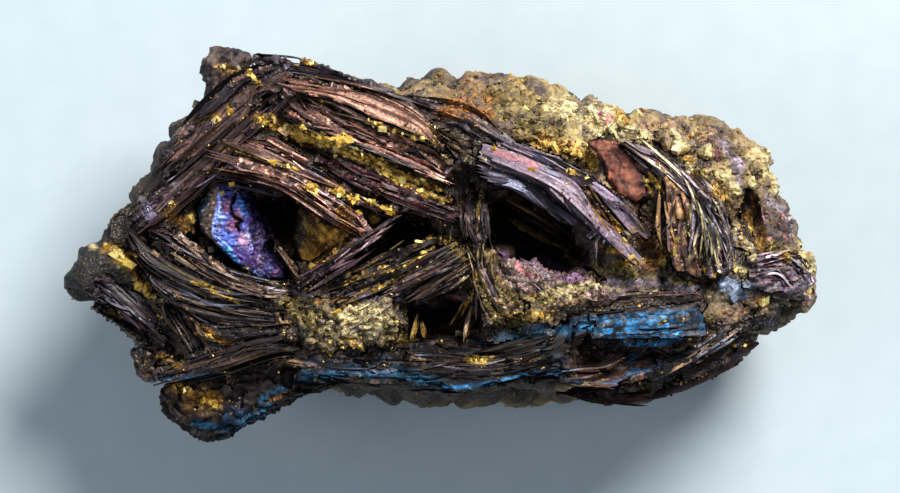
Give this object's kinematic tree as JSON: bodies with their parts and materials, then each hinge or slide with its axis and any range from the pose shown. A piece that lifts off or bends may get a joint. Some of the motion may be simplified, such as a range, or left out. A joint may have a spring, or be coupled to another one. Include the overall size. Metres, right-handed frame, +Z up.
{
  "type": "mineral specimen",
  "caption": "Covellite mineral specimen: striated bronze, violet and indigo blades with pyrite and druse on a loose piece of ochre matrix",
  "frame": {"origin": "middle of the bounding box, on the flat face the specimen rests on", "axes": "+X along the length towards the fibrous end, +Y towards the weathered back, +Z up out of the crystal face"},
  "size_m": [0.0749, 0.0389, 0.0283],
  "materials": {
    "matrix_rock": "rough broken rock, ochre to grey brown with fine pyrite",
    "covellite_dark": "near-black striated sheets with a faint violet sheen",
    "covellite_bronze": "bronze-pink metallic sheen, finely striated",
    "covellite_lilac": "smooth lilac-grey metallic sheen",
    "covellite_indigo": "glossy indigo to violet tarnish",
    "covellite_mirror": "polished blue tarnish, nearly mirror-like",
    "pyrite_gold": "bright brassy crystal faces",
    "druse_crust": "fine sugary crust, cream to olive",
    "red_brown_plate": "smooth waxy red-brown"
  },
  "bodies": {
    "root": {"matrix": "matrix_rock", "arm_outer": "covellite_dark", "arm_inner": "covellite_dark", "crest_left": "covellite_dark", "crest_right": "covellite_dark", "bronze_upper": "covellite_bronze", "olive_ribbon": "covellite_bronze", "bronze_middle": "covellite_bronze", "lilac_main": "covellite_lilac", "lilac_upper": "covellite_lilac", "cavity_lip": "covellite_lilac", "ribbon_upper": "covellite_bronze", "ribbon_lower": "covellite_bronze", "ribbon_fore": "covellite_dark", "dark_upper": "covellite_dark", "dark_lower": "covellite_dark", "pocket_bar": "covellite_bronze", "pocket_splint": "covellite_dark", "bundle_upper": "covellite_bronze", "bundle_middle": "covellite_dark", "bundle_lower": "covellite_dark", "dark_wedge": "covellite_dark", "ochre_laths": "covellite_bronze", "grey_plate": "covellite_dark", "rim_plate": "covellite_dark", "sill_bar": "covellite_dark", "fan_upper": "covellite_bronze", "fan_gold": "covellite_dark", "fan_middle": "covellite_dark", "fan_lower": "covellite_bronze", "centre_post": "covellite_dark", "centre_ridge": "covellite_bronze", "rim_left": "covellite_mirror", "rim_centre": "covellite_dark", "rim_right": "covellite_dark", "front_lens": "covellite_dark", "front_mirror": "covellite_mirror", "front_slant_a": "covellite_dark", "front_slant_b": "covellite_dark", "front_keel": "covellite_dark", "fibre_fan_left": "covellite_bronze", "fibre_fan_right": "covellite_lilac", "shear_ribbon": "covellite_lilac", "swirl_end": "covellite_lilac", "pocket_crystal": "covellite_indigo", "pocket_crust": "pyrite_gold", "druse": "druse_crust", "boss": "druse_crust", "red_plate": "red_brown_plate", "knob": "covellite_dark", "lobe": "covellite_mirror", "ledge": "covellite_dark", "seam_middle": "pyrite_gold"}
  },
  "joints": []
}
